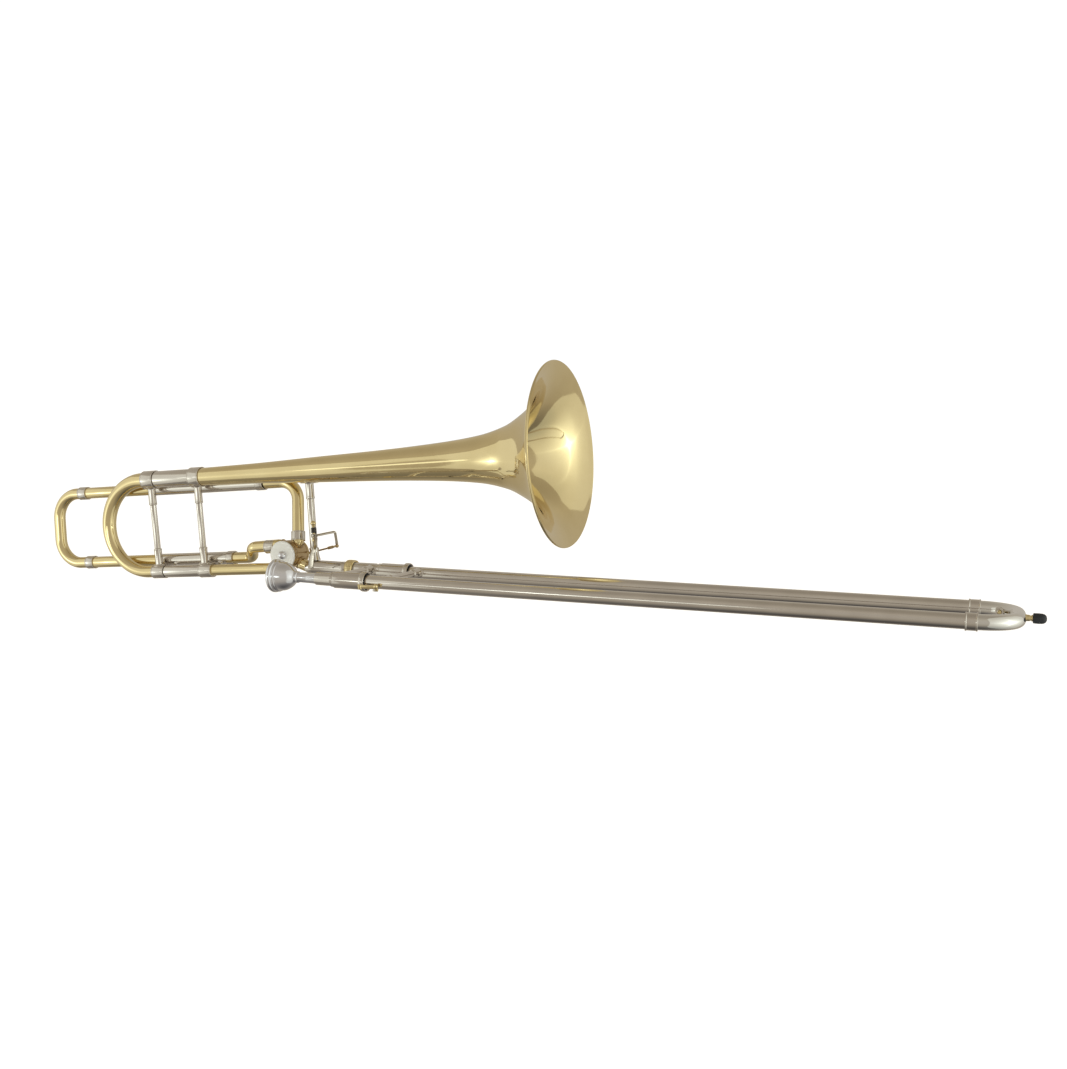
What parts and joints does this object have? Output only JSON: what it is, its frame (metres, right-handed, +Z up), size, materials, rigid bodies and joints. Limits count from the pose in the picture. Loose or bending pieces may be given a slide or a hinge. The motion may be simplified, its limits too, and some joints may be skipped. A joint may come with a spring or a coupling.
{
  "type": "tenor trombone",
  "caption": "Slide trombone with an F attachment: flared bell, rotary thumb valve, telescoping hand slide, tuning slides and cup mouthpiece.",
  "frame": {"origin": "on the far slide tube's axis, at the back face of the lock nut", "axes": "+X along the hand slide to its end bow, +Y from the near slide tube to the far one, +Z up towards the bell"},
  "size_m": [1.283, 0.2236, 0.2843],
  "materials": {
    "brass": "clear lacquer over polished brass",
    "nickel_silver": "polished nickel silver under lacquer",
    "silver_plate": "polished silver plate",
    "satin_silver": "satin plated",
    "chrome_plate": "bright plated",
    "dark_steel": "dark spring steel",
    "rubber": "matt moulded rubber"
  },
  "bodies": {
    "bell_section": {"bell": "brass", "bell_brace": "nickel_silver", "bell_ferrule": "nickel_silver", "bell_sleeve": "nickel_silver", "f_brace_lower_front": "nickel_silver", "f_brace_lower_rear": "nickel_silver", "f_brace_upper_front": "nickel_silver", "f_brace_upper_rear": "nickel_silver", "f_inlet_knuckle": "brass", "f_lower_sleeve": "nickel_silver", "f_outlet_elbow": "brass", "f_upper_sleeve": "nickel_silver", "f_upper_tube": "brass", "gooseneck": "brass", "gooseneck_ferrule": "nickel_silver", "gooseneck_sleeve": "nickel_silver", "hand_brace": "nickel_silver", "lever_post": "brass", "lever_spring": "dark_steel", "receiver": "nickel_silver", "receiver_knuckle": "brass", "valve_back_plate": "brass", "valve_cap": "satin_silver", "valve_casing": "brass"},
    "lock_nut": {"lock_nut": "brass"},
    "tuning_slide": {"tuning_bow": "brass", "tuning_ferrule_upper": "nickel_silver", "tuning_ferrule_lower": "nickel_silver", "tuning_leg_upper": "nickel_silver", "tuning_leg_lower": "nickel_silver", "tuning_brace": "nickel_silver"},
    "f_tuning_slide": {"f_tuning_bow": "brass", "f_tuning_ferrule_upper": "nickel_silver", "f_tuning_ferrule_lower": "nickel_silver", "f_tuning_leg_upper": "brass", "f_tuning_leg_lower": "brass"},
    "rotor": {"rotor": "brass", "stop_arm": "nickel_silver"},
    "thumb_lever": {"thumb_lever": "nickel_silver"},
    "link_rod": {"link_rod": "nickel_silver"},
    "inner_slide": {"slide_cone": "silver_plate", "inner_tube_far": "nickel_silver", "inner_tube_near": "nickel_silver", "cork_barrel_far": "nickel_silver", "cork_barrel_near": "nickel_silver", "inner_brace": "nickel_silver", "mouthpiece_receiver": "nickel_silver"},
    "slide_lock": {"slide_lock_ring": "brass"},
    "mouthpiece": {"mouthpiece": "silver_plate"},
    "outer_slide": {"outer_tube_far": "nickel_silver", "outer_tube_near": "nickel_silver", "bow_ferrule_far": "nickel_silver", "bow_ferrule_near": "nickel_silver", "end_bow": "chrome_plate", "outer_brace": "nickel_silver", "bumper_stem": "brass", "rubber_bumper": "rubber", "water_key_body": "nickel_silver"},
    "water_key_button": {"water_key_button": "brass"}
  },
  "joints": [
    {"name": "slide_swivel", "type": "hinge", "parent": "bell_section", "child": "inner_slide", "pos_m": [0, 0, 0], "axis": [1, 0, 0], "range_deg": [-15, 15]},
    {"name": "lock_nut_turn", "type": "hinge", "parent": "bell_section", "child": "lock_nut", "pos_m": [0.0056, 0, 0], "axis": [1, 0, 0], "continuous": true},
    {"name": "hand_slide", "type": "slide", "parent": "inner_slide", "child": "outer_slide", "axis": [1, 0, 0], "range_m": [0, 0.6]},
    {"name": "slide_lock_turn", "type": "hinge", "parent": "inner_slide", "child": "slide_lock", "pos_m": [0.0793, -0.096, 0], "axis": [1, 0, 0], "range_deg": [0, 24]},
    {"name": "mouthpiece_pull", "type": "slide", "parent": "inner_slide", "child": "mouthpiece", "axis": [-1, 0, 0], "range_m": [0, 0.05]},
    {"name": "tuning_slide_pull", "type": "slide", "parent": "bell_section", "child": "tuning_slide", "axis": [-0.9971, 0, -0.0764], "range_m": [0, 0.05]},
    {"name": "f_tuning_slide_pull", "type": "slide", "parent": "bell_section", "child": "f_tuning_slide", "axis": [-0.9971, 0, -0.0764], "range_m": [0, 0.08]},
    {"name": "thumb_lever_turn", "type": "hinge", "parent": "bell_section", "child": "thumb_lever", "pos_m": [-0.0405, -0.013, 0.041], "axis": [-0.0764, 0, 0.9971], "range_deg": [0, 33], "stiffness_Nm_per_rad": 0.05, "springref_deg": -20.05},
    {"name": "rotor_turn", "type": "hinge", "parent": "bell_section", "child": "rotor", "pos_m": [-0.08286, 0, 0.01501], "axis": [0, 1, 0], "range_deg": [0, 90.1]},
    {"name": "link_turn", "type": "hinge", "parent": "rotor", "child": "link_rod", "pos_m": [-0.07088, 0.021, 0.01425], "axis": [0, 1, 0], "range_deg": [-103.3, 0]},
    {"name": "water_key_press", "type": "slide", "parent": "outer_slide", "child": "water_key_button", "axis": [0, 1, 0], "range_m": [0, 0.001], "stiffness_N_per_m": 600, "springref_m": -0.001}
  ],
  "couplings": [
    {"joint": "rotor_turn", "follows": "thumb_lever_turn", "ratio": 2.7272},
    {"joint": "link_turn", "follows": "thumb_lever_turn", "ratio": -3.1243}
  ]
}
